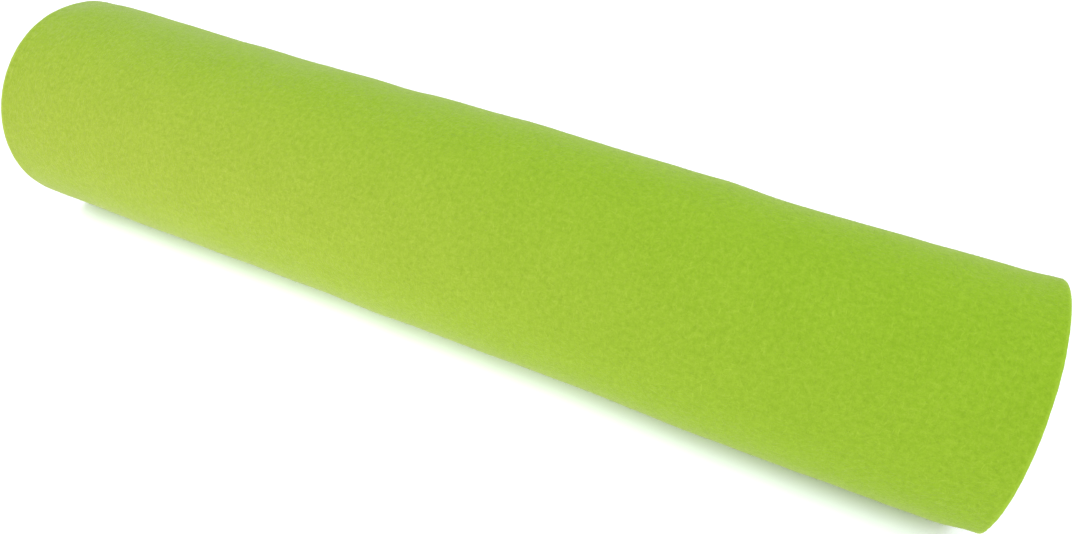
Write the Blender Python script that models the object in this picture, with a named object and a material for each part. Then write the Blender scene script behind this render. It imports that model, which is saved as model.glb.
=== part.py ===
"""A roll of craft felt: one length of felt, 450 mm wide and 5 m long, wound on itself with no core.

The roll lies along X with its near end at +X, its front at -Y and up at +Z. It rests on a narrow flat
spot at z = 0. Angles around the roll run from +Y, which is the back, over the top at 90 degrees to the
front at 180 degrees. The felt's free edge hangs down the back, and the winding is followed from there:
over the top, down the front, under the roll and on inwards, turn by turn, to the hollow eye.
"""

import math
from collections import namedtuple

import bmesh
import bpy

MM = 0.001

# The felt that is wound
FELT_WIDTH = 450.0 * MM
FELT_LENGTH = 5000.0 * MM
FELT_THICKNESS = 1.5 * MM
LIME = (0.37, 0.56, 0.05, 1.0)
FELT_ROUGHNESS = 0.95

# The winding: its radius at the free edge, and the eye left where the winding rod was drawn out.
# The pitch from turn to turn is what lays the whole length between the two.
OUTER_RADIUS = 51.4 * MM
EYE_RADIUS = 8.0 * MM
FIRST_CENTRELINE = OUTER_RADIUS - FELT_THICKNESS / 2
LAST_CENTRELINE = EYE_RADIUS + FELT_THICKNESS / 2
TURN_PITCH = math.pi * (FIRST_CENTRELINE**2 - LAST_CENTRELINE**2) / FELT_LENGTH
TURNS = (FIRST_CENTRELINE - LAST_CENTRELINE) / TURN_PITCH
FREE_EDGE_ANGLE = -41.25

# The flat spot that the roll's own weight presses into its underside
BOTTOM_ANGLE = 270.0
FLAT_HALF_ANGLE = 11.25
FLAT_SPARE = 0.1 * MM
TURNS_TO_BOTTOM = (BOTTOM_ANGLE - FREE_EDGE_ANGLE) / 360.0 % 1.0
BOTTOM_RADIUS = OUTER_RADIUS - TURN_PITCH * TURNS_TO_BOTTOM
FLAT_DEPTH = BOTTOM_RADIUS * (1.0 - math.cos(math.radians(FLAT_HALF_ANGLE))) + FLAT_SPARE

# Where the axis lies, so that the whole roll's box is centred over the origin
AXIS_X = -0.4 * MM
AXIS_Y = -0.5 * MM
AXIS_Z = BOTTOM_RADIUS - FLAT_DEPTH

# The soft corners of the rims, the spiral dip that the bands of turns leave in the ends, and how far
# the eye is squashed out of round
RIM_ROUNDING = 0.3 * MM
DIP_DEPTH = 0.6 * MM
EYE_SQUASH = 0.7 * MM
EYE_SQUASH_ANGLE = 60.0

# The bands of turns that show at the ends, from the free edge inwards, at windings of a coarser spiral.
# layers is how many turns of felt lie outside, and wander how far they crept to +X, in millimetres.
Band = namedtuple("Band", "winding layers wander")
BANDS = (
    Band(winding=0.00, layers=0.0, wander=0.0),
    Band(winding=1.00, layers=1.0, wander=-0.3),
    Band(winding=2.00, layers=3.0, wander=0.2),
    Band(winding=3.00, layers=6.0, wander=0.5),
    Band(winding=4.00, layers=10.0, wander=-0.2),
    Band(winding=5.00, layers=14.0, wander=-0.7),
    Band(winding=6.00, layers=18.0, wander=-0.1),
    Band(winding=7.00, layers=22.0, wander=0.8),
    Band(winding=7.75, layers=TURNS, wander=1.3),
    Band(winding=8.75, layers=TURNS + 1.0, wander=1.5),
)
LAST_WINDING = BANDS[-1].winding

# How far the outside swells or sinks along the roll, at its upper back and at its lower front, in
# millimetres. Between the two it changes smoothly, and it fades out on the hidden side.
UPPER_ANGLE = 48.0
LOWER_ANGLE = 212.0
UPPER_FADE_BEHIND = 110.0
LOWER_FADE_UNDER = 48.0
Swell = namedtuple("Swell", "along upper lower")
SWELLS = (
    Swell(along=-225.0, upper=-0.2, lower=-0.3),
    Swell(along=-200.0, upper=0.0, lower=0.0),
    Swell(along=-150.0, upper=-0.5, lower=0.1),
    Swell(along=-110.0, upper=-0.5, lower=0.0),
    Swell(along=-70.0, upper=0.0, lower=-0.1),
    Swell(along=-45.0, upper=0.0, lower=0.2),
    Swell(along=-22.0, upper=0.8, lower=0.3),
    Swell(along=15.0, upper=1.1, lower=-0.1),
    Swell(along=55.0, upper=0.6, lower=-0.4),
    Swell(along=98.0, upper=0.5, lower=0.4),
    Swell(along=122.0, upper=-0.7, lower=0.6),
    Swell(along=155.0, upper=-0.7, lower=0.3),
    Swell(along=190.0, upper=-0.2, lower=-0.2),
    Swell(along=225.0, upper=-0.1, lower=-0.4),
)

# Soft dents pressed into the two rims, where the end is +1 or -1 along X, the depth and the reach
# along are in millimetres and the angles in degrees. A negative depth is a place that flares.
Dent = namedtuple("Dent", "end angle depth reach_along reach_around")
RIM_DENTS = (
    Dent(end=1.0, angle=222.0, depth=3.2, reach_along=14.0, reach_around=31.0),
    Dent(end=1.0, angle=60.0, depth=-0.3, reach_along=12.0, reach_around=40.0),
    Dent(end=-1.0, angle=70.0, depth=1.2, reach_along=16.0, reach_around=50.0),
)

# How finely the surfaces are divided: around, near the ends, over the middle and down the eye
STEPS_AROUND = 48
DISTANCES_NEAR_END = (5.0 * MM, 11.0 * MM)
FIRST_MIDDLE_DISTANCE = 20.0 * MM
MIDDLE_RINGS = 23
EYE_MIDDLE_RINGS = 5
SHARP_ANGLE = math.radians(50.0)


def smooth_value(pairs, place):
    """The value at a place, on a smooth curve through pairs of place and value."""
    last = len(pairs) - 1
    first = next((i for i in range(last - 1) if place < pairs[i + 1][0]), last - 1)
    start_place, start = pairs[first]
    end_place, end = pairs[first + 1]
    before = pairs[max(first - 1, 0)][1]
    after = pairs[min(first + 2, last)][1]
    share = min(1.0, max(0.0, (place - start_place) / (end_place - start_place)))
    square = share**2
    cube = share**3
    return (
        start * (2 * cube - 3 * square + 1)
        + end * (3 * square - 2 * cube)
        + (end - before) / 2 * (cube - 2 * square + share)
        + (after - start) / 2 * (cube - square)
    )


def layers_outside(winding):
    """How many turns of felt lie outside a place on the coarse spiral."""
    outer, inner = next(pair for pair in zip(BANDS, BANDS[1:]) if winding <= pair[1].winding)
    share = (winding - outer.winding) / (inner.winding - outer.winding)
    return outer.layers + share * (inner.layers - outer.layers)


def wander(winding):
    """How far along X the turns at a place on the coarse spiral have crept."""
    return MM * smooth_value([(band.winding, band.wander) for band in BANDS], winding)


def fade(gap, reach):
    """1 where the gap is nothing, falling smoothly to 0 where it equals the reach."""
    return 0.5 * (1.0 + math.cos(math.pi * min(1.0, abs(gap) / reach)))


def angle_past(angle, centre):
    """The signed angle past the centre, between -180 and 180 degrees."""
    return (angle - centre + 180.0) % 360.0 - 180.0


def swell(along, angle):
    """How far the outermost turn stands out from an even winding, in millimetres."""
    past_upper = angle_past(angle, UPPER_ANGLE)
    past_lower = angle_past(angle, LOWER_ANGLE)
    front = LOWER_ANGLE - UPPER_ANGLE
    upper_share = fade(past_upper, front if past_upper > 0 else UPPER_FADE_BEHIND)
    lower_share = fade(past_lower, LOWER_FADE_UNDER if past_lower > 0 else front)
    upper = smooth_value([(row.along, row.upper) for row in SWELLS], along / MM)
    lower = smooth_value([(row.along, row.lower) for row in SWELLS], along / MM)
    return upper_share * upper + lower_share * lower


def dent(along, angle):
    """How far the dents in the rims press the outermost turn in, in millimetres."""
    pressed = 0.0
    for row in RIM_DENTS:
        from_end = row.end * FELT_WIDTH / 2 - along
        share = fade(from_end / MM, row.reach_along) * fade(angle_past(angle, row.angle), row.reach_around)
        pressed += row.depth * share
    return pressed


def outward_share(layers):
    """1 on the outermost turn, falling to 0 at the eye."""
    return max(0.0, 1.0 - layers / TURNS)


def bed_depth(layers):
    """How far below the axis a turn lies flat: the outermost on the table, the others pressed less."""
    if layers <= 1.0:
        return AXIS_Z
    return OUTER_RADIUS - TURN_PITCH * layers - FLAT_DEPTH * outward_share(layers)


def wound_point(along, winding, layers, inset=0.0):
    """A point of the roll: its place along, its winding, the layers outside it, how far it is drawn in."""
    angle = FREE_EDGE_ANGLE + 360.0 * winding
    outwards = outward_share(layers)
    squash = EYE_SQUASH * math.cos(2.0 * math.radians(angle - EYE_SQUASH_ANGLE))
    unevenness = MM * (swell(along, angle) - dent(along, angle))
    radius = OUTER_RADIUS - TURN_PITCH * layers - inset
    radius += outwards * unevenness + (1.0 - outwards) * squash
    across = radius * math.cos(math.radians(angle))
    up = max(radius * math.sin(math.radians(angle)), inset - bed_depth(layers))
    return (along + AXIS_X, across + AXIS_Y, up + AXIS_Z)


def rim_inset(winding):
    """How far the soft corners draw the ends' outline in: inwards at the rim, outwards in the eye."""
    return RIM_ROUNDING * (1.0 - 2.0 * winding / LAST_WINDING)


def ridge_line(mesh, end):
    """The vertices along the spiral ridge of one end, from the roll's rim in to the eye's rim."""
    line = []
    for step in range(round(LAST_WINDING * STEPS_AROUND) + 1):
        winding = step / STEPS_AROUND
        along = end * FELT_WIDTH / 2 + wander(winding)
        place = wound_point(along, winding, layers_outside(winding), rim_inset(winding))
        line.append(mesh.verts.new(place))
    return line


def dip_line(mesh, end):
    """The vertices along the spiral dip of one end, midway between a turn of the ridge and the next."""
    line = []
    for step in range(round((LAST_WINDING - 1.0) * STEPS_AROUND) + 1):
        winding = step / STEPS_AROUND
        layers = (layers_outside(winding) + layers_outside(winding + 1.0)) / 2
        along = end * (FELT_WIDTH / 2 - DIP_DEPTH) + wander(winding + 0.5)
        line.append(mesh.verts.new(wound_point(along, winding, layers, rim_inset(winding + 0.5))))
    return line


def ring(mesh, along, first_winding, inset=0.0):
    """The vertices once around the roll, on the outermost turn or on the eye's wall."""
    row = []
    for step in range(STEPS_AROUND + 1):
        winding = first_winding + step / STEPS_AROUND
        place = wound_point(along + wander(winding), winding, layers_outside(winding), inset)
        row.append(mesh.verts.new(place))
    return row


def corner_steps(rounding):
    """Where the rings of a soft corner lie: how far in from the end, and how far drawn in there."""
    half_way = 1.0 - math.sqrt(0.5)
    return [(half_way * RIM_ROUNDING, half_way * rounding), (RIM_ROUNDING, 0.0)]


def evenly(start, end, count):
    """Places evenly spaced from start to end."""
    return [start + (end - start) * i / (count - 1) for i in range(count)]


def rings_between_ends(mesh, first_winding, end_steps, middle):
    """Rings from near the -X end to near the +X end, with the same steps at both."""
    half = FELT_WIDTH / 2
    rings = [ring(mesh, distance - half, first_winding, inset) for distance, inset in end_steps]
    rings += [ring(mesh, along, first_winding) for along in middle]
    rings += [ring(mesh, half - distance, first_winding, inset) for distance, inset in reversed(end_steps)]
    return rings


def outer_rings(mesh):
    """Rings over the outermost turn."""
    end_steps = corner_steps(RIM_ROUNDING) + [(distance, 0.0) for distance in DISTANCES_NEAR_END]
    reach = FELT_WIDTH / 2 - FIRST_MIDDLE_DISTANCE
    return rings_between_ends(mesh, 0.0, end_steps, evenly(-reach, reach, MIDDLE_RINGS))


def eye_rings(mesh):
    """Rings down the eye's wall."""
    middle = evenly(-FELT_WIDTH / 2, FELT_WIDTH / 2, EYE_MIDDLE_RINGS + 2)[1:-1]
    return rings_between_ends(mesh, LAST_WINDING - 1.0, corner_steps(-RIM_ROUNDING), middle)


def skin(mesh, row, next_row):
    """Faces between two rows that have as many vertices."""
    for i in range(len(row) - 1):
        mesh.faces.new((row[i], row[i + 1], next_row[i + 1], next_row[i]))


def skin_rings(mesh, rings):
    """Faces over a run of rings, and the felt's own edge, which closes the step from turn to turn."""
    for row, next_row in zip(rings, rings[1:]):
        skin(mesh, row, next_row)
        mesh.faces.new((row[-1], row[0], next_row[0], next_row[-1]))


def skin_end(mesh, ridges, dips):
    """Faces over one end, which falls from each turn of the ridge to the dip and rises to the next."""
    inner_ridges = ridges[STEPS_AROUND:]
    skin(mesh, ridges[: len(dips)], dips)
    skin(mesh, dips, inner_ridges)
    for edge in (0, len(dips) - 1):
        mesh.faces.new((ridges[edge], dips[edge], inner_ridges[edge]))


def wound_form():
    """The closed mesh of the wound felt."""
    mesh = bmesh.new()
    ridges = {end: ridge_line(mesh, end) for end in (-1.0, 1.0)}
    around = STEPS_AROUND + 1
    skin_rings(mesh, [ridges[-1.0][:around], *outer_rings(mesh), ridges[1.0][:around]])
    skin_rings(mesh, [ridges[-1.0][-around:], *eye_rings(mesh), ridges[1.0][-around:]])
    for end, ridge in ridges.items():
        skin_end(mesh, ridge, dip_line(mesh, end))
    bmesh.ops.recalc_face_normals(mesh, faces=mesh.faces)
    return mesh


def felt_material():
    """Lime-green felt with a dull, fibrous face."""
    material = bpy.data.materials.new("lime_felt")
    material.use_nodes = True
    shader = material.node_tree.nodes["Principled BSDF"]
    shader.inputs["Base Color"].default_value = LIME
    shader.inputs["Roughness"].default_value = FELT_ROUGHNESS
    shader.inputs["Metallic"].default_value = 0.0
    return material


def felt_roll():
    """The wound length of felt, as one solid."""
    wound = wound_form()
    mesh = bpy.data.meshes.new("felt_roll")
    wound.to_mesh(mesh)
    wound.free()
    mesh.materials.append(felt_material())
    mesh.shade_smooth()
    mesh.set_sharp_from_angle(angle=SHARP_ANGLE)
    return bpy.data.objects.new("felt_roll", mesh)


def main():
    for leftover in list(bpy.data.objects):
        bpy.data.objects.remove(leftover, do_unlink=True)
    collection = bpy.data.collections.new("roll_of_felt")
    bpy.context.scene.collection.children.link(collection)
    collection.objects.link(felt_roll())


main()
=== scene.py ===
"""Looks of the roll of craft felt: the wound sheet, the fuzz on it, its material, the light and the camera.

Lengths are in metres, and tables say where they are in millimetres. Angles around the roll run from +Y,
the back, over the top at 90 degrees to the front at 180 degrees. The winding is followed from the felt's
free edge, low at the back: over the top, down the front, under the roll and on inwards to the eye.
"""

import math
from collections import namedtuple

import bpy
import numpy as np
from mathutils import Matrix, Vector


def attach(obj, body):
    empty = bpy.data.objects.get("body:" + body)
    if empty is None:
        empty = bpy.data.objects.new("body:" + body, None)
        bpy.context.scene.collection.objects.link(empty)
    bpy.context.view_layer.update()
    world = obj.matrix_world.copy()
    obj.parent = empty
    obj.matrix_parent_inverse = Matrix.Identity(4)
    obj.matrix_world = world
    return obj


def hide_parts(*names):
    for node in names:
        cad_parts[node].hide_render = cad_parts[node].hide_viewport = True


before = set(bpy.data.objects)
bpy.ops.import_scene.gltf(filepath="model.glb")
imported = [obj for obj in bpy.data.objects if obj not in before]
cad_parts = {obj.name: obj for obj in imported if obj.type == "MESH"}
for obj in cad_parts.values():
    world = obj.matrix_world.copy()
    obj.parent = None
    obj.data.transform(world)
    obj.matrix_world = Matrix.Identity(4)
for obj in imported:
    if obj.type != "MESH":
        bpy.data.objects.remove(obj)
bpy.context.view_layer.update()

MM = 0.001
SEED = 4721
ROUNDING_SLACK = 1e-6

# The felt and its winding, as the part's solid has them
FELT_WIDTH = 450.0 * MM
FELT_LENGTH = 5000.0 * MM
FELT_THICKNESS = 1.5 * MM
OUTER_RADIUS = 51.4 * MM
EYE_RADIUS = 8.0 * MM
FIRST_CENTRELINE = OUTER_RADIUS - FELT_THICKNESS / 2
LAST_CENTRELINE = EYE_RADIUS + FELT_THICKNESS / 2
TURN_PITCH = math.pi * (FIRST_CENTRELINE**2 - LAST_CENTRELINE**2) / FELT_LENGTH
TURNS = (FIRST_CENTRELINE - LAST_CENTRELINE) / TURN_PITCH
FREE_EDGE_ANGLE = -41.25
BOTTOM_ANGLE = 270.0
FLAT_HALF_ANGLE = 11.25
FLAT_SPARE = 0.1 * MM
TURNS_TO_BOTTOM = (BOTTOM_ANGLE - FREE_EDGE_ANGLE) / 360.0 % 1.0
BOTTOM_RADIUS = OUTER_RADIUS - TURN_PITCH * TURNS_TO_BOTTOM
FLAT_DEPTH = BOTTOM_RADIUS * (1.0 - math.cos(math.radians(FLAT_HALF_ANGLE))) + FLAT_SPARE
AXIS_X = -0.4 * MM
AXIS_Y = -0.5 * MM
AXIS_Z = BOTTOM_RADIUS - FLAT_DEPTH
EYE_SQUASH = 0.7 * MM
EYE_SQUASH_ANGLE = 60.0

# How far the turns crept along X as the felt was wound, in millimetres
Creep = namedtuple("Creep", "winding along")
CREEPS = (
    Creep(winding=0.0, along=0.0),
    Creep(winding=1.0, along=-0.3),
    Creep(winding=3.0, along=0.2),
    Creep(winding=6.0, along=0.5),
    Creep(winding=10.0, along=-0.2),
    Creep(winding=14.0, along=-0.7),
    Creep(winding=18.0, along=-0.1),
    Creep(winding=22.0, along=0.8),
    Creep(winding=TURNS, along=1.3),
    Creep(winding=TURNS + 1.0, along=1.5),
)

# How far the outside swells or sinks along the roll, at its upper back and its lower front, in millimetres:
# the part's own swells, followed within 0.6 mm and in more rows
UPPER_ANGLE = 48.0
LOWER_ANGLE = 212.0
UPPER_FADE_BEHIND = 110.0
LOWER_FADE_UNDER = 48.0
Swell = namedtuple("Swell", "along upper lower")
SWELLS = (
    Swell(along=-225.0, upper=-0.2, lower=-0.3),
    Swell(along=-200.0, upper=0.0, lower=-0.1),
    Swell(along=-175.0, upper=-0.4, lower=-0.25),
    Swell(along=-150.0, upper=-0.55, lower=-0.1),
    Swell(along=-130.0, upper=-0.45, lower=-0.25),
    Swell(along=-110.0, upper=-0.7, lower=-0.1),
    Swell(along=-90.0, upper=-0.3, lower=-0.4),
    Swell(along=-70.0, upper=0.0, lower=-0.5),
    Swell(along=-45.0, upper=-0.3, lower=-0.3),
    Swell(along=-22.0, upper=0.55, lower=-0.1),
    Swell(along=15.0, upper=0.9, lower=-0.3),
    Swell(along=35.0, upper=0.75, lower=-0.3),
    Swell(along=55.0, upper=0.5, lower=-0.8),
    Swell(along=80.0, upper=0.45, lower=-0.3),
    Swell(along=98.0, upper=0.2, lower=-0.1),
    Swell(along=110.0, upper=-0.1, lower=0.1),
    Swell(along=122.0, upper=-0.6, lower=0.4),
    Swell(along=140.0, upper=-0.95, lower=0.1),
    Swell(along=155.0, upper=-1.0, lower=0.0),
    Swell(along=170.0, upper=-0.6, lower=-0.05),
    Swell(along=190.0, upper=-0.4, lower=-0.35),
    Swell(along=208.0, upper=-0.05, lower=-0.4),
    Swell(along=225.0, upper=0.0, lower=-0.4),
)

# Soft dents in the rims: the end along X, depth and reach along in millimetres, angles in degrees.
# A negative depth is a place that flares, and the first row is in the looks alone
Dent = namedtuple("Dent", "end angle depth reach_along reach_around")
RIM_DENTS = (
    Dent(end=1.0, angle=65.0, depth=-0.75, reach_along=9.0, reach_around=26.0),
    Dent(end=1.0, angle=222.0, depth=3.2, reach_along=14.0, reach_around=31.0),
    Dent(end=1.0, angle=60.0, depth=-0.3, reach_along=12.0, reach_around=40.0),
    Dent(end=-1.0, angle=70.0, depth=1.2, reach_along=16.0, reach_around=50.0),
)

# The sheet as it is wound here, a little thinner than the pitch so that its turns lie just apart,
# with softly rounded cut edges, the free edge lifting off and the start of the felt curling into the eye
SHEET_THICKNESS = 1.42 * MM
EDGE_ROUNDING = 0.35 * MM
CORNER_SHARE = 0.3
EDGE_BULGE = 0.05 * MM
EDGE_ROUGHNESS = 0.045 * MM
FREE_EDGE_LIFT = 1.5 * MM
FREE_EDGE_LIFT_TURNS = 0.08
EYE_CURL = 1.1 * MM
EYE_CURL_TURNS = 0.45
SLACK = 0.11 * MM
SLACK_PERIOD = 7.3
SLACK_VARIES = 0.4
SLACK_ANGLE = 40.0
END_CREEP = 0.16 * MM
END_CREEP_PERIODS = (0.37, 0.61, 0.94, 1.7, 2.6)

# How the sheet is divided. Distances are from the felt's cut edges
OUTER_STEPS = 160
INNER_STEPS = 60
EDGE_DISTANCES = (0.35, 1.2, 2.6, 4.6, 7.0)
MIDDLE_STATIONS = 143
SPARSE_EDGE_PICKS = (0, 1, 3, 4)
SPARSE_MIDDLE_STATIONS = 7

# Waves of the outer face that can be felt by hand: wavelength and height in millimetres
Wave = namedtuple("Wave", "length height count")
FACE_WAVES = (
    Wave(length=55.0, height=0.16, count=9),
    Wave(length=22.0, height=0.07, count=14),
    Wave(length=9.5, height=0.035, count=22),
)
WAVE_STRETCH = (0.75, 1.35)
WAVE_FADE_TURNS = 0.05

# The texture map: the outer face and the two cut ends have rows of their own height, and the turns share
# the rest by weight. Loose fibres and cut ends use the given share of the map's width
OUTER_FACE_HEIGHT = 0.70
CUT_END_HEIGHT = 0.004
EDGE_WEIGHT = 2.0
EYE_FACE_WEIGHT = 6.0
HIDDEN_FACE_WEIGHT = 1.0
MAP_SHARE = 0.98

# Loose fibres that stand off the felt
FIBRE_COUNT = 44000
FIBRE_LENGTHS = (0.5 * MM, 1.7 * MM)
FIBRE_RADIUS = 0.03 * MM
FIBRE_LEAN = (8.0, 48.0)
FIBRE_ROOT = 0.12 * MM
FIBRE_TURNS = (0.003, 0.985)
FIBRE_FLOOR_GAP = 0.02 * MM
FIBRE_MAP_TOP = 0.99
FIBRE_MAP_STEPS = (0.0, 0.0015, 0.0, 0.003)

# Fibres matted into the felt's face: the way they lie in degrees from X, their length and width in
# millimetres, how far each layer's pattern is shifted for each degree, and how sharply fibres stand out
FibreLayer = namedtuple("FibreLayer", "turn length width")
FIBRE_LAYERS = (
    FibreLayer(turn=12.0, length=3.2, width=0.5),
    FibreLayer(turn=64.0, length=3.6, width=0.5),
    FibreLayer(turn=88.0, length=6.0, width=0.5),
    FibreLayer(turn=107.0, length=4.6, width=0.5),
    FibreLayer(turn=151.0, length=3.2, width=0.5),
)
FIBRE_SHIFT = (0.37 * MM, 0.61 * MM)
FIBRE_DISTORTION = 0.6
FIBRE_RANGE = (0.54, 0.74)

# The felt's noise patterns on the cloth, with their shares of its tone and of its relief
Pattern = namedtuple("Pattern", "scale detail roughness tone relief")
BLOTCHES = Pattern(scale=48.0, detail=2.0, roughness=0.5, tone=0.15, relief=0.0)
MOTTLE = Pattern(scale=480.0, detail=3.0, roughness=0.6, tone=0.76, relief=0.8)
GRAIN = Pattern(scale=1150.0, detail=2.0, roughness=0.6, tone=0.43, relief=0.4)
WEB_TONE = 0.2
WEB_RELIEF = 0.7
RELIEF_STRENGTH = 0.55
RELIEF_HEIGHT = 0.3 * MM

# The felt's colours from its darkest tone to its lightest, its dullness and its pale bloom
TONE_RANGE = (0.33, 1.18)
LIMES = (
    (0.248, 0.419, 0.016),
    (0.312, 0.489, 0.028),
    (0.380, 0.559, 0.046),
)
DULL_WHERE_MOTTLE = (0.3, 0.7)
DULLNESS = (0.88, 1.0)
FELT_SPECULAR = 0.12
BLOOM = 0.37
BLOOM_SPREAD = 0.3
BLOOM_TINT = (1.0, 0.79, 0.71)

# Painted highlight along the felt's cut edges: the colour is paler for this far in from each edge, by up to
# this share
EDGE_HIGHLIGHT_REACH = 1.6 * MM
EDGE_HIGHLIGHT_SHARE = 0.55
EDGE_HIGHLIGHT_LIME = (0.46, 0.66, 0.075)

# The table
TABLE_HALF_SIDE = 30.0
TABLE_WHITE = (0.86, 0.86, 0.86)
TABLE_ROUGHNESS = 0.8
TABLE_SPECULAR = 0.1

# The camera, fitted to the photograph
CAMERA_PLACE = (0.13861, -0.23946, 0.33051)
CAMERA_YAW = 0.43025
CAMERA_PITCH = -0.83997
CAMERA_LENS = 29.613
SENSOR_WIDTH = 36.0

# The light: the surround, the lamp for the table and the soft spots on the felt
SURROUND = (1.0, 1.0, 1.0)
SURROUND_STRENGTH = 0.92
TABLE_LAMP_STRENGTH = 2.64
TABLE_LAMP_COLOUR = (0.82, 0.87, 1.0)
TABLE_LAMP_SPREAD = 25.0
TABLE_LAMP_HEIGHT = 68.5
SKY_STRENGTH = 0.89
SKY_SPREAD = 100.0
SKY_COLOUR = (0.585, 0.985, 0.25)
SPOT_RADIUS = 0.15
Spot = namedtuple("Spot", "name lit place aim spread power colour")
SPOTS = (
    Spot(
        name="table_spot",
        lit="table",
        place=(-0.06, -0.74, 0.57),
        aim=(-0.06, 0.0, 0.0),
        spread=37.0,
        power=18.5,
        colour=(0.87, 0.96, 0.85),
    ),
    Spot(
        name="left_spot",
        lit="felt",
        place=(-0.17, -0.74, 0.57),
        aim=(-0.17, 0.0, 0.05),
        spread=44.0,
        power=22.5,
        colour=(0.29, 0.0, 1.0),
    ),
    Spot(
        name="low_spot",
        lit="felt",
        place=(-0.2, -0.93, 0.16),
        aim=(-0.2, 0.0, 0.05),
        spread=48.0,
        power=16.0,
        colour=(0.5, 0.26, 1.0),
    ),
)


def smooth_values(rows, places):
    """Values at places, on a smooth curve through rows of place and value."""
    table = np.array(rows)
    spots, values = table[:, 0], table[:, 1]
    last = len(rows) - 1
    first = np.clip(np.searchsorted(spots, places, side="right") - 1, 0, last - 1)
    start, end = values[first], values[first + 1]
    before = values[np.maximum(first - 1, 0)]
    after = values[np.minimum(first + 2, last)]
    share = np.clip((places - spots[first]) / (spots[first + 1] - spots[first]), 0.0, 1.0)
    square, cube = share**2, share**3
    return (
        start * (2 * cube - 3 * square + 1)
        + end * (3 * square - 2 * cube)
        + (end - before) / 2 * (cube - 2 * square + share)
        + (after - start) / 2 * (cube - square)
    )


def fade(gap, reach):
    """1 where the gap is nothing, falling smoothly to 0 where it equals the reach."""
    return 0.5 * (1.0 + np.cos(np.pi * np.minimum(1.0, np.abs(gap) / reach)))


def angle_past(angle, centre):
    """The signed angle past the centre, between -180 and 180 degrees."""
    return (angle - centre + 180.0) % 360.0 - 180.0


def swell(along, angle):
    """How far the outermost turn stands out from an even winding, in millimetres."""
    past_upper = angle_past(angle, UPPER_ANGLE)
    past_lower = angle_past(angle, LOWER_ANGLE)
    front = LOWER_ANGLE - UPPER_ANGLE
    upper_share = fade(past_upper, np.where(past_upper > 0, front, UPPER_FADE_BEHIND))
    lower_share = fade(past_lower, np.where(past_lower > 0, LOWER_FADE_UNDER, front))
    upper = smooth_values([(row.along, row.upper) for row in SWELLS], along / MM)
    lower = smooth_values([(row.along, row.lower) for row in SWELLS], along / MM)
    return upper_share * upper + lower_share * lower


def dent(along, angle):
    """How far the dents in the rims press the outermost turn in, in millimetres."""
    pressed = 0.0
    for row in RIM_DENTS:
        from_end = (row.end * FELT_WIDTH / 2 - along) / MM
        share = fade(from_end, row.reach_along) * fade(angle_past(angle, row.angle), row.reach_around)
        pressed = pressed + row.depth * share
    return pressed


def face_relief(along, winding):
    """The outer face's low waves, which fade out where the outermost turn ends."""
    random = np.random.default_rng(SEED)
    around = winding * 2.0 * math.pi * OUTER_RADIUS
    relief = np.zeros(np.broadcast(along, winding).shape)
    for wave in FACE_WAVES:
        for _ in range(wave.count):
            heading, phase = random.uniform(0.0, 2.0 * math.pi, 2)
            stretch = random.uniform(*WAVE_STRETCH)
            across = along * math.cos(heading) + around * math.sin(heading)
            height = wave.height * MM / math.sqrt(wave.count)
            relief += height * np.sin(2.0 * math.pi * across / (wave.length * MM * stretch) + phase)
    return relief * np.clip((1.0 - winding) / WAVE_FADE_TURNS, 0.0, 1.0)


def looseness(winding, angle):
    """How far a turn lies off its even place, growing towards the eye, where the turns are slacker."""
    inwards = np.minimum(1.0, winding / TURNS)
    around = 1.0 - SLACK_VARIES + SLACK_VARIES * np.sin(np.radians(2.0 * angle + SLACK_ANGLE))
    sway = np.sin(2.0 * math.pi * winding / SLACK_PERIOD) * around
    lift = np.clip(1.0 - winding / FREE_EDGE_LIFT_TURNS, 0.0, 1.0) ** 2
    curl = np.clip((winding - TURNS + EYE_CURL_TURNS) / EYE_CURL_TURNS, 0.0, 1.0) ** 2
    return SLACK * inwards * sway + FREE_EDGE_LIFT * lift - EYE_CURL * curl


def creep(winding):
    """How far along X the felt lies at a place in the winding."""
    random = np.random.default_rng(SEED + 1)
    crept = MM * smooth_values([(row.winding, row.along) for row in CREEPS], winding)
    for period in END_CREEP_PERIODS:
        phase = random.uniform(0.0, 2.0 * math.pi)
        sway = np.sin(2.0 * math.pi * winding / period + phase)
        crept = crept + END_CREEP * np.minimum(1.0, winding) * sway
    return crept


def wound_points(along, winding, depth, relief=0.0):
    """Points of the wound sheet: their place along, their winding and their depth below its outer face."""
    along = along + creep(winding)
    angle = FREE_EDGE_ANGLE + 360.0 * winding
    outwards = np.maximum(0.0, 1.0 - winding / TURNS)
    squash = EYE_SQUASH * np.cos(2.0 * np.radians(angle - EYE_SQUASH_ANGLE))
    unevenness = MM * (swell(along, angle) - dent(along, angle))
    radius = OUTER_RADIUS - TURN_PITCH * winding - depth + relief
    radius = radius + outwards * unevenness + (1.0 - outwards) * squash + looseness(winding, angle)
    pressed = OUTER_RADIUS - TURN_PITCH * winding - FLAT_DEPTH * outwards
    bed = np.where(winding <= 1.0, AXIS_Z, pressed)
    across = radius * np.cos(np.radians(angle))
    up = np.maximum(radius * np.sin(np.radians(angle)), depth - bed)
    along, across, up = np.broadcast_arrays(along, across, up)
    return np.stack([along + AXIS_X, across + AXIS_Y, up + AXIS_Z], axis=-1)


def stations_along():
    """Places along the felt's width, and the picks among them that the hidden turns use."""
    half = FELT_WIDTH / 2
    edge = [half - distance * MM for distance in EDGE_DISTANCES]
    middle = np.linspace(-edge[-1], edge[-1], MIDDLE_STATIONS)[1:-1]
    places = np.array([-place for place in edge] + list(middle) + edge[::-1])
    last = len(places) - 1
    inner = SPARSE_EDGE_PICKS[-1]
    picks = np.linspace(inner, last - inner, SPARSE_MIDDLE_STATIONS + 2).round().astype(int)
    picks = sorted({*SPARSE_EDGE_PICKS, *picks.tolist(), *(last - pick for pick in SPARSE_EDGE_PICKS)})
    return places, picks


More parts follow.
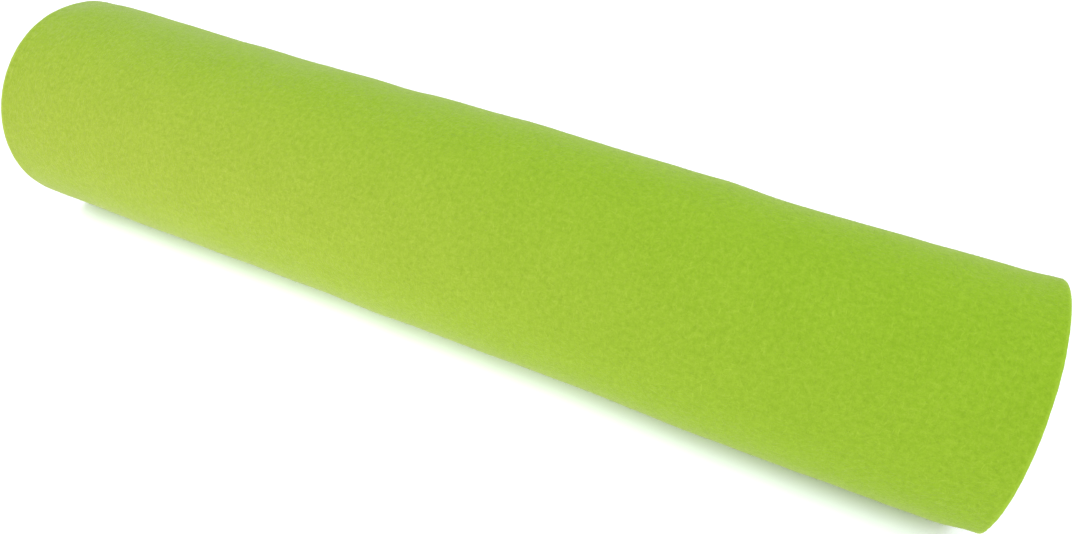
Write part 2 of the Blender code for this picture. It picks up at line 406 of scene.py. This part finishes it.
def windings():
    """Where the sheet's columns lie in the winding, and how far each is rounded in at the felt's ends."""
    round_turns = EDGE_ROUNDING / (2.0 * math.pi * OUTER_RADIUS)
    eye_turns = EDGE_ROUNDING / (2.0 * math.pi * LAST_CENTRELINE)
    outer = np.arange(1, OUTER_STEPS + 1) / OUTER_STEPS
    inner = np.arange(INNER_STEPS + 1, math.ceil(TURNS * INNER_STEPS)) / INNER_STEPS
    start = [0.0, CORNER_SHARE * round_turns, round_turns]
    end = [TURNS - eye_turns, TURNS - CORNER_SHARE * eye_turns, TURNS]
    places = np.concatenate([start, outer, inner, end])
    insets = np.zeros(len(places))
    insets[:2] = (EDGE_ROUNDING, CORNER_SHARE * EDGE_ROUNDING)
    insets[-2:] = (CORNER_SHARE * EDGE_ROUNDING, EDGE_ROUNDING)
    return places, insets


def edge_profile(inset):
    """The points round the felt's cut edge: how far back from it, and how deep."""
    middle = SHEET_THICKNESS / 2
    corner = CORNER_SHARE * EDGE_ROUNDING
    points = [(corner, corner), (0.0, EDGE_ROUNDING), (-EDGE_BULGE, middle)]
    points += [(0.0, SHEET_THICKNESS - EDGE_ROUNDING), (corner, SHEET_THICKNESS - corner)]
    squeeze = 1.0 - inset / middle
    return [(back, middle + (depth - middle) * squeeze) for back, depth in points]


def sheet_column(winding, inset, outer_places, inner_places, random):
    """The points once round the felt's section at a place in the winding, and their places on the cloth."""
    half = FELT_WIDTH / 2
    profile = edge_profile(inset)
    relief = face_relief(outer_places, winding)
    outer = wound_points(outer_places, winding, inset, relief)
    inner = wound_points(inner_places[::-1], winding, SHEET_THICKNESS - inset)
    rough = random.normal(0.0, EDGE_ROUGHNESS, (2, len(profile)))
    near = [wound_points(half - back + off, winding, depth) for (back, depth), off in zip(profile, rough[0])]
    far = [wound_points(back - half + off, winding, depth) for (back, depth), off in zip(profile, rough[1])]
    places = np.concatenate([
        outer_places,
        [half + depth for back, depth in profile],
        inner_places[::-1] + SHEET_THICKNESS,
        [-half - depth for back, depth in profile[::-1]],
    ])
    return np.concatenate([outer, near, inner, far[::-1]]), places


# The corners of a face between two columns: which column, and which of the two places along it
QUAD = ((0, 0), (1, 0), (1, 1), (0, 1))


class Rows:
    """Bands of a texture map, laid under one another, that hold the parts of the sheet."""

    def __init__(self, top):
        self.top = top
        self.spans = {}

    def add(self, name, height):
        """Lays one more band above the last."""
        self.spans[name] = (self.top, self.top + height)
        self.top += height

    def place(self, name, share):
        """The height on the map at a share of the way up a band."""
        low, high = self.spans[name]
        return low + (high - low) * share


def bake_rows():
    """The bands of the map: the outer face, the felt's two cut ends, then each turn's edges and faces."""
    rows = Rows(0.0)
    rows.add("outer face", OUTER_FACE_HEIGHT)
    turns = math.ceil(TURNS)
    for name in ("free edge", "inner start"):
        rows.add(name, CUT_END_HEIGHT)
    spare = 1.0 - rows.top
    weights = {}
    for turn in range(turns):
        weights[turn, "near edge"] = EDGE_WEIGHT
        weights[turn, "far edge"] = EDGE_WEIGHT
        weights[turn, "inner face"] = EYE_FACE_WEIGHT if turn >= turns - 2 else HIDDEN_FACE_WEIGHT
        if turn > 0:
            weights[turn, "outer face"] = HIDDEN_FACE_WEIGHT
    total = sum(weights.values())
    for name, weight in weights.items():
        rows.add(name, spare * weight / total)
    return rows


def section_parts(outer_count, inner_count):
    """Each stretch round the section: its name and its first and last vertex."""
    edge = len(edge_profile(0.0))
    outer_end = outer_count - 1
    inner_start = outer_end + edge + 1
    inner_end = inner_start + inner_count - 1
    return (
        ("outer face", 0, outer_end),
        ("near edge", outer_end, inner_start),
        ("inner face", inner_start, inner_end),
        ("far edge", inner_end, inner_end + edge + 1),
    )


class Sheet:
    """The faces of the wound sheet, with their places on the cloth and on the texture map."""

    def __init__(self):
        self.points = []
        self.cloth = []
        self.faces = []
        self.maps = []
        self.rows = bake_rows()

    def add_column(self, points, places, winding):
        """Adds the points once round the section, and returns their numbers."""
        first = len(self.points)
        around = felt_used(winding)
        self.points.extend(points)
        self.cloth.extend((place, around) for place in places)
        return list(range(first, first + len(points)))

    def add_face(self, corners, map_places):
        """Adds a face with its corners' places on the texture map."""
        self.faces.append(corners)
        self.maps.extend(map_places)

    def skin(self, one, two, windings_of, parts):
        """Faces between two columns that have as many vertices."""
        turn = min(int(windings_of[0] + ROUNDING_SLACK), math.ceil(TURNS) - 1)
        u = [1.0 - (winding - turn) for winding in windings_of]
        count = len(one)
        for name, first, last in parts:
            row = "outer face" if turn == 0 and name == "outer face" else (turn, name)
            for k in range(first, last):
                if row == "outer face":
                    across = [0.5 + self.cloth[one[i]][0] / FELT_WIDTH for i in (k, k + 1)]
                    spots = [(across[j], self.rows.place(row, u[i])) for i, j in QUAD]
                else:
                    share = [(i - first) / (last - first) for i in (k, k + 1)]
                    spots = [(u[i], self.rows.place(row, share[j])) for i, j in QUAD]
                after = (k + 1) % count
                self.add_face((one[k], two[k], two[after], one[after]), spots)

    def cap(self, column, name, outer_picks, parts, flip):
        """Faces over the felt's own end, from its outer face to its inner one."""
        outer = [column[i] for i in range(parts[0][1], parts[0][2] + 1)]
        inner = [column[i] for i in range(parts[2][1], parts[2][2] + 1)][::-1]
        for k in range(len(inner) - 1):
            top = outer[outer_picks[k] : outer_picks[k + 1] + 1]
            corners = [inner[k], inner[k + 1], *top[::-1]]
            self.add_cap_face(corners, name, flip)
        for _, first, last in (parts[1], parts[3]):
            edge = [column[i % len(column)] for i in range(first, last + 1)]
            self.add_cap_face(edge, name, not flip)

    def add_cap_face(self, corners, name, flip):
        """Adds one face of the felt's own end, spread over that end's band of the map."""
        loop = corners[::-1] if flip else corners
        height = {i: n for n, i in enumerate(sorted(loop))}
        spots = []
        for i in loop:
            across = 0.5 + MAP_SHARE * np.clip(self.points[i][0] / FELT_WIDTH, -0.5, 0.5)
            spots.append((float(across), self.rows.place(name, height[i] / len(loop))))
        self.add_face(tuple(loop), spots)


def felt_used(winding):
    """The length of felt between the free edge and a place in the winding."""
    return 2.0 * math.pi * (FIRST_CENTRELINE * winding - TURN_PITCH * winding**2 / 2)


def build_sheet():
    """The closed mesh data of the wound sheet."""
    random = np.random.default_rng(SEED + 2)
    places, picks = stations_along()
    sparse = places[picks]
    turns, insets = windings()
    sheet = Sheet()
    fine_parts = section_parts(len(places), len(sparse))
    sparse_parts = section_parts(len(sparse), len(sparse))
    columns = []
    for winding, inset in zip(turns, insets):
        outer = places if winding < 1.0 + ROUNDING_SLACK else sparse
        points, cloth = sheet_column(winding, inset, outer, sparse, random)
        columns.append(sheet.add_column(points, cloth, winding))
    for i, (one, two) in enumerate(zip(columns, columns[1:])):
        if len(one) == len(two):
            parts = fine_parts if len(one) == len(columns[0]) else sparse_parts
            sheet.skin(one, two, turns[i : i + 2], parts)
        else:
            join_sparser(sheet, one, two, turns[i : i + 2], picks, fine_parts, sparse_parts)
    everyone = list(range(len(picks)))
    sheet.cap(columns[0], "free edge", picks, fine_parts, False)
    sheet.cap(columns[-1], "inner start", everyone, sparse_parts, True)
    return sheet


def join_sparser(sheet, fine, sparse, windings_of, picks, fine_parts, sparse_parts):
    """Faces between the last finely divided column and the first sparse one."""
    turn = int(windings_of[0] + ROUNDING_SLACK)
    u = [1.0 - (winding - turn) for winding in windings_of]
    row = (turn, "outer face")
    for k, (low, high) in enumerate(zip(picks, picks[1:])):
        corners = [sparse[k], sparse[k + 1], *[fine[i] for i in range(high, low - 1, -1)]]
        share = [k / (len(picks) - 1), (k + 1) / (len(picks) - 1)]
        spots = [(u[1], sheet.rows.place(row, share[0])), (u[1], sheet.rows.place(row, share[1]))]
        for i in range(high, low - 1, -1):
            part = (i - low) / (high - low)
            spots.append((u[0], sheet.rows.place(row, share[0] + part * (share[1] - share[0]))))
        sheet.add_face(tuple(corners), spots)
    shift = len(fine) - len(sparse)
    fine_rest = [None] * len(sparse)
    for _, first, last in sparse_parts[1:]:
        for k in range(first, last + 1):
            fine_rest[k % len(sparse)] = fine[(k + shift) % len(fine)]
    for name, first, last in sparse_parts[1:]:
        for k in range(first, last):
            share = [(i - first) / (last - first) for i in (k, k + 1)]
            spots = [(u[i], sheet.rows.place((turn, name), share[j])) for i, j in QUAD]
            after = (k + 1) % len(sparse)
            sheet.add_face((fine_rest[k], sparse[k], sparse[after], fine_rest[after]), spots)


def mesh_object(name, points, faces, cloth, maps, material):
    """A smooth mesh object, with its places on the cloth and on the texture map."""
    mesh = bpy.data.meshes.new(name)
    mesh.from_pydata([tuple(map(float, point)) for point in points], [], faces)
    corner_vertices = np.empty(len(mesh.loops), np.int32)
    mesh.loops.foreach_get("vertex_index", corner_vertices)
    cloth_layer = mesh.uv_layers.new(name="cloth")
    cloth_layer.data.foreach_set("uv", np.asarray(cloth, np.float32)[corner_vertices].ravel())
    map_layer = mesh.uv_layers.new(name="OFBake")
    map_layer.data.foreach_set("uv", np.asarray(maps, np.float32).ravel())
    cloth_layer.active_render = True
    mesh.materials.append(material)
    mesh.shade_smooth()
    made = bpy.data.objects.new(name, mesh)
    bpy.context.scene.collection.objects.link(made)
    return made


def face_place(along, winding):
    """Points on the outer face, with their outward normals and their two tangents."""
    step = 0.5 * MM
    turn_step = step / (2.0 * math.pi * OUTER_RADIUS)
    point = wound_points(along, winding, 0.0, face_relief(along, winding))
    beside = wound_points(along + step, winding, 0.0, face_relief(along + step, winding))
    onwards = wound_points(along, winding + turn_step, 0.0, face_relief(along, winding + turn_step))
    right = (beside - point) / np.linalg.norm(beside - point, axis=1, keepdims=True)
    ahead = (onwards - point) / np.linalg.norm(onwards - point, axis=1, keepdims=True)
    out = np.cross(ahead, right)
    out /= np.linalg.norm(out, axis=1, keepdims=True)
    outward = np.sign(np.sum(out * (point - np.array([0.0, AXIS_Y, AXIS_Z])) * (0.0, 1.0, 1.0), axis=1))
    return point, out * outward[:, None], right, ahead


def fuzz(material):
    """Loose fibres all over the outer face: slender slivers that lean away from it."""
    random = np.random.default_rng(SEED + 3)
    half = FELT_WIDTH / 2 - EDGE_ROUNDING
    along = random.uniform(-half, half, FIBRE_COUNT)
    winding = random.uniform(*FIBRE_TURNS, FIBRE_COUNT)
    point, out, right, ahead = face_place(along, winding)
    heading = random.uniform(0.0, 2.0 * math.pi, (FIBRE_COUNT, 1))
    lean = np.radians(random.uniform(*FIBRE_LEAN, (FIBRE_COUNT, 1)))
    flat = np.cos(heading) * right + np.sin(heading) * ahead
    direction = np.cos(lean) * flat + np.sin(lean) * out
    length = random.uniform(*FIBRE_LENGTHS, (FIBRE_COUNT, 1))
    side = np.cross(direction, out)
    side /= np.linalg.norm(side, axis=1, keepdims=True)
    upper = np.cross(side, direction)
    root = point - FIBRE_ROOT * out
    corners = []
    for turn in (0.0, 120.0, 240.0):
        offset = math.cos(math.radians(turn)) * side + math.sin(math.radians(turn)) * upper
        corners.append(root + FIBRE_RADIUS * offset)
    corners.append(root + direction * length)
    points = np.stack(corners, axis=1)
    points[..., 2] = np.maximum(points[..., 2], FIBRE_FLOOR_GAP)
    first = np.arange(FIBRE_COUNT)[:, None] * 4
    faces = np.concatenate([first + np.array(face) for face in ((0, 2, 1), (0, 1, 3), (1, 2, 3), (2, 0, 3))])
    places = points[..., 0]
    across = 0.5 + places / FELT_WIDTH * MAP_SHARE
    up = FIBRE_MAP_TOP - MAP_SHARE * winding[:, None] + np.array(FIBRE_MAP_STEPS)
    maps = np.stack([across, up], axis=-1).reshape(-1, 2)[faces.ravel()]
    used = np.broadcast_to(felt_used(winding)[:, None], places.shape)
    cloth = np.stack([places, used], axis=-1).reshape(-1, 2)
    return mesh_object("surface_fuzz", points.reshape(-1, 3), faces.tolist(), cloth, maps, material)


def add_node(tree, kind, **settings):
    """A new node with its properties set."""
    made = tree.nodes.new(kind)
    for name, value in settings.items():
        setattr(made, name, value)
    return made


def feed(tree, source, node, name):
    """Links an output, or sets a value, to a node's input."""
    socket = node.inputs[name]
    if isinstance(source, bpy.types.NodeSocket):
        tree.links.new(source, socket)
    else:
        socket.default_value = source


def math_node(tree, operation, first, second=0.0, third=0.0):
    """The output of a sum, product or the like."""
    made = add_node(tree, "ShaderNodeMath", operation=operation)
    for index, value in enumerate((first, second, third)):
        feed(tree, value, made, index)
    return made.outputs[0]


def noise(tree, place, scale, detail, roughness, distortion=0.0):
    """The output of a noise pattern, about 0.5 on average."""
    made = add_node(tree, "ShaderNodeTexNoise", noise_dimensions="3D")
    feed(tree, place, made, "Vector")
    made.inputs["Scale"].default_value = scale
    made.inputs["Detail"].default_value = detail
    made.inputs["Roughness"].default_value = roughness
    made.inputs["Distortion"].default_value = distortion
    return made.outputs["Fac"]


def ranged(tree, value, low, high, to_low=0.0, to_high=1.0):
    """The output of a range mapped smoothly onto another."""
    made = add_node(tree, "ShaderNodeMapRange", interpolation_type="SMOOTHSTEP")
    feed(tree, value, made, "Value")
    made.inputs["From Min"].default_value = low
    made.inputs["From Max"].default_value = high
    made.inputs["To Min"].default_value = to_low
    made.inputs["To Max"].default_value = to_high
    return made.outputs["Result"]


def fibre_layer(tree, place, layer):
    """Streaks like single fibres, lying one way on the cloth: 1 on a fibre and 0 between."""
    mapping = add_node(tree, "ShaderNodeMapping", vector_type="TEXTURE")
    feed(tree, place, mapping, "Vector")
    mapping.inputs["Rotation"].default_value = (0.0, 0.0, math.radians(layer.turn))
    mapping.inputs["Location"].default_value = (FIBRE_SHIFT[0] * layer.turn, FIBRE_SHIFT[1] * layer.turn, 0.0)
    mapping.inputs["Scale"].default_value = (layer.length * MM, layer.width * MM, 1.0)
    streaks = noise(tree, mapping.outputs["Vector"], 1.0, 2.0, 0.6, FIBRE_DISTORTION)
    return ranged(tree, streaks, *FIBRE_RANGE)


def painted_edge_highlight(tree, place, colour):
    """The colour, paler towards the felt's cut edges: a painted highlight where the rounded edge catches
    light.
    """
    across = add_node(tree, "ShaderNodeSeparateXYZ")
    feed(tree, place, across, 0)
    from_middle = math_node(tree, "ABSOLUTE", across.outputs["X"])
    half = FELT_WIDTH / 2
    share = ranged(tree, from_middle, half - EDGE_HIGHLIGHT_REACH, half, 0.0, EDGE_HIGHLIGHT_SHARE)
    mix = add_node(tree, "ShaderNodeMix", data_type="RGBA")
    feed(tree, share, mix, 0)
    feed(tree, colour, mix, 6)
    mix.inputs[7].default_value = (*EDGE_HIGHLIGHT_LIME, 1.0)
    return mix.outputs[2]


def felt_tone(tree, place, mottle, grain, web):
    """How light each place on the felt is: broad blotches, mottling, fine grain and single fibres."""
    blotches = noise(tree, place, BLOTCHES.scale, BLOTCHES.detail, BLOTCHES.roughness)
    tone = math_node(tree, "MULTIPLY", blotches, BLOTCHES.tone)
    for pattern, share in ((mottle, MOTTLE.tone), (grain, GRAIN.tone), (web, WEB_TONE)):
        tone = math_node(tree, "MULTIPLY_ADD", pattern, share, tone)
    return ranged(tree, tone, *TONE_RANGE)


def lime_ramp(tree, tone):
    """The felt's colour for a tone."""
    ramp = add_node(tree, "ShaderNodeValToRGB")
    feed(tree, tone, ramp, "Fac")
    elements = ramp.color_ramp.elements
    while len(elements) < len(LIMES):
        elements.new(0.5)
    for number, (element, colour) in enumerate(zip(elements, LIMES)):
        element.position = number / (len(LIMES) - 1)
        element.color = (*colour, 1.0)
    return ramp.outputs["Color"]


def felt_relief(tree, mottle, grain, web):
    """The bumps of the matted fibres, as a normal."""
    height = math_node(tree, "MULTIPLY", mottle, MOTTLE.relief)
    height = math_node(tree, "MULTIPLY_ADD", web, WEB_RELIEF, height)
    height = math_node(tree, "MULTIPLY_ADD", grain, GRAIN.relief, height)
    bump = add_node(tree, "ShaderNodeBump")
    bump.inputs["Strength"].default_value = RELIEF_STRENGTH
    bump.inputs["Distance"].default_value = RELIEF_HEIGHT
    feed(tree, height, bump, "Height")
    return bump.outputs["Normal"]


def felt_material(name):
    """Lime-green needled felt: matted fibres, mottled colour and a pale sheen of fuzz."""
    material = bpy.data.materials.new(name)
    material.use_nodes = True
    tree = material.node_tree
    shader = tree.nodes["Principled BSDF"]
    place = add_node(tree, "ShaderNodeUVMap", uv_map="cloth").outputs["UV"]
    mottle = noise(tree, place, MOTTLE.scale, MOTTLE.detail, MOTTLE.roughness)
    grain = noise(tree, place, GRAIN.scale, GRAIN.detail, GRAIN.roughness)
    fibres = [fibre_layer(tree, place, layer) for layer in FIBRE_LAYERS]
    web = fibres[0]
    for streaks in fibres[1:]:
        web = math_node(tree, "MAXIMUM", web, streaks)
    colour = lime_ramp(tree, felt_tone(tree, place, mottle, grain, web))
    # The base colour carries a painted highlight along the cut edges
    feed(tree, painted_edge_highlight(tree, place, colour), shader, "Base Color")
    feed(tree, ranged(tree, mottle, *DULL_WHERE_MOTTLE, *DULLNESS), shader, "Roughness")
    feed(tree, felt_relief(tree, mottle, grain, web), shader, "Normal")
    shader.inputs["Specular IOR Level"].default_value = FELT_SPECULAR
    shader.inputs["Sheen Weight"].default_value = BLOOM
    shader.inputs["Sheen Roughness"].default_value = BLOOM_SPREAD
    shader.inputs["Sheen Tint"].default_value = (*BLOOM_TINT, 1.0)
    return material


def floor():
    """A plain white table top."""
    mesh = bpy.data.meshes.new("floor")
    side = TABLE_HALF_SIDE
    corners = [(-side, -side, 0.0), (side, -side, 0.0), (side, side, 0.0), (-side, side, 0.0)]
    mesh.from_pydata(corners, [], [(0, 1, 2, 3)])
    material = bpy.data.materials.new("white_table")
    material.use_nodes = True
    shader = material.node_tree.nodes["Principled BSDF"]
    shader.inputs["Base Color"].default_value = (*TABLE_WHITE, 1.0)
    shader.inputs["Roughness"].default_value = TABLE_ROUGHNESS
    shader.inputs["Specular IOR Level"].default_value = TABLE_SPECULAR
    mesh.materials.append(material)
    made = bpy.data.objects.new("floor", mesh)
    bpy.context.scene.collection.objects.link(made)
    return made


def aimed(name, light, place, aim, lit):
    """A lamp at a place, pointing at another, that lights only some things."""
    made = bpy.data.objects.new(name, light)
    made.location = place
    made.rotation_euler = (Vector(aim) - Vector(place)).to_track_quat("-Z", "Y").to_euler()
    bpy.context.scene.collection.objects.link(made)
    receivers = bpy.data.collections.new("lit_by_" + name)
    for thing in lit:
        receivers.objects.link(thing)
    made.light_linking.receiver_collection = receivers


def table_lamp(table):
    """A broad lamp high in front, for the table alone, which leaves a narrow shadow along the roll."""
    light = bpy.data.lights.new("table_lamp", "SUN")
    light.energy = TABLE_LAMP_STRENGTH
    light.angle = math.radians(TABLE_LAMP_SPREAD)
    light.color = TABLE_LAMP_COLOUR
    height = math.radians(TABLE_LAMP_HEIGHT)
    aimed("table_lamp", light, (0.0, -math.cos(height), math.sin(height)), (0.0, 0.0, 0.0), [table])


def sky(felt_pieces):
    """A very broad overhead lamp for the felt."""
    light = bpy.data.lights.new("sky", "SUN")
    light.energy = SKY_STRENGTH
    light.angle = math.radians(SKY_SPREAD)
    light.color = SKY_COLOUR
    aimed("sky", light, (0.0, 0.0, 1.0), (0.0, 0.0, 0.0), felt_pieces)


def soft_spot(row, lit):
    """A large soft lamp whose light falls off smoothly from its middle."""
    light = bpy.data.lights.new(row.name, "SPOT")
    light.spot_size = math.radians(row.spread)
    light.spot_blend = 1.0
    light.shadow_soft_size = SPOT_RADIUS
    light.energy = row.power
    light.color = row.colour
    aimed(row.name, light, row.place, row.aim, lit)


def lights(table, felt_pieces):
    """An even white surround, the lamp for the table, and the soft spots on the felt."""
    world = bpy.data.worlds.new("white_surround")
    world.use_nodes = True
    background = world.node_tree.nodes["Background"]
    background.inputs["Color"].default_value = (*SURROUND, 1.0)
    background.inputs["Strength"].default_value = SURROUND_STRENGTH
    bpy.context.scene.world = world
    table_lamp(table)
    sky(felt_pieces)
    lit = {"table": [table], "felt": felt_pieces}
    for row in SPOTS:
        soft_spot(row, lit[row.lit])


def camera():
    """The camera at the photograph's viewing angle."""
    data = bpy.data.cameras.new("camera")
    data.sensor_fit = "HORIZONTAL"
    data.sensor_width = SENSOR_WIDTH
    data.lens = CAMERA_LENS
    made = bpy.data.objects.new("camera", data)
    made.location = CAMERA_PLACE
    made.rotation_euler = (math.pi / 2 + CAMERA_PITCH, 0.0, CAMERA_YAW)
    bpy.context.scene.collection.objects.link(made)
    bpy.context.scene.camera = made


camera()
felt = felt_material("lime_felt_matted")
sheet = build_sheet()
wound_felt = mesh_object("wound_felt", sheet.points, sheet.faces, sheet.cloth, sheet.maps, felt)
surface_fuzz = fuzz(felt)
lights(floor(), [wound_felt, surface_fuzz])
for piece in (wound_felt, surface_fuzz):
    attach(piece, "root")
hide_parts("felt_roll")

view = bpy.context.scene.view_settings
view.view_transform = "Standard"
view.look = "None"
